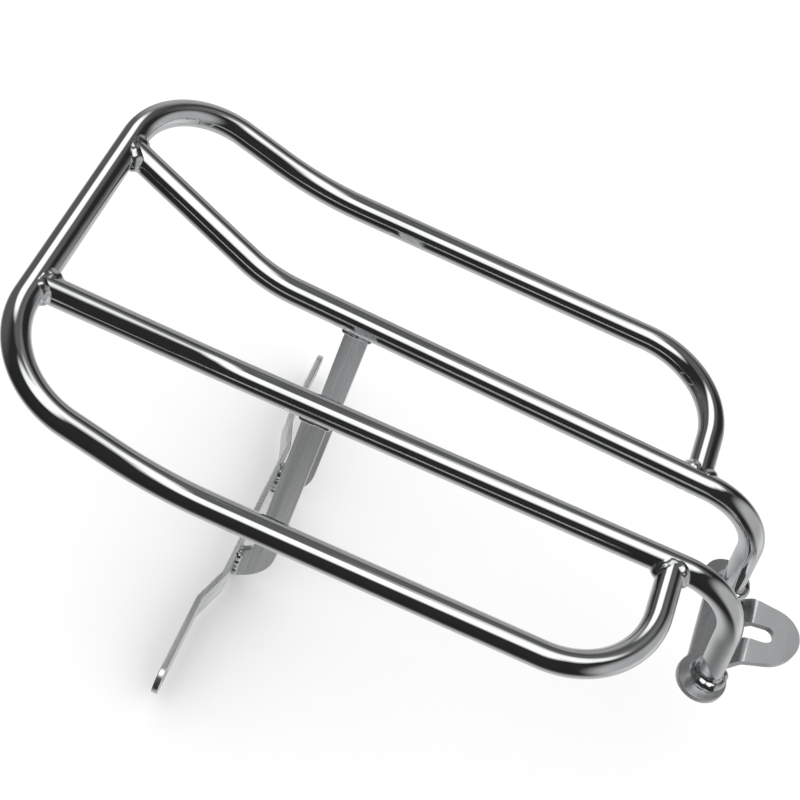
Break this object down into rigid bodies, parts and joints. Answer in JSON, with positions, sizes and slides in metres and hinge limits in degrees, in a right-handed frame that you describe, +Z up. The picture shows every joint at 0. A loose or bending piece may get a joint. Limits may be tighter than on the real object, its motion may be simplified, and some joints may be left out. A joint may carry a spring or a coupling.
{
  "type": "motorcycle solo luggage rack",
  "caption": "Chromed tube rear rack with two inner rails, a kicked-up tail, a slotted front tongue and a strap bracket on two legs.",
  "frame": {"origin": "under the middle of the rack's outline, level with its lowest edge", "axes": "+X forward towards the slotted mounting tongue, +Y to the left, +Z up"},
  "size_m": [0.3906, 0.226, 0.1854],
  "materials": {
    "chrome_tube": "bright chrome over polished steel tube",
    "chrome_plate": "chrome over cut plate, faintly brushed",
    "chrome_strap": "chrome over flat strap, faintly drawn",
    "chrome_weld": "chrome over uneven weld bead"
  },
  "bodies": {
    "root": {"outer_hoop": "chrome_tube", "left_inner_rail": "chrome_tube", "right_inner_rail": "chrome_tube", "front_mount_plate": "chrome_plate", "cross_strap": "chrome_strap", "left_support_leg": "chrome_strap", "right_support_leg": "chrome_strap", "left_rear_weld": "chrome_weld", "left_front_weld": "chrome_weld", "left_plate_weld": "chrome_weld", "left_leg_weld": "chrome_weld", "left_foot_weld": "chrome_weld", "right_rear_weld": "chrome_weld", "right_front_weld": "chrome_weld", "right_plate_weld": "chrome_weld", "right_leg_weld": "chrome_weld", "right_foot_weld": "chrome_weld"}
  },
  "joints": []
}
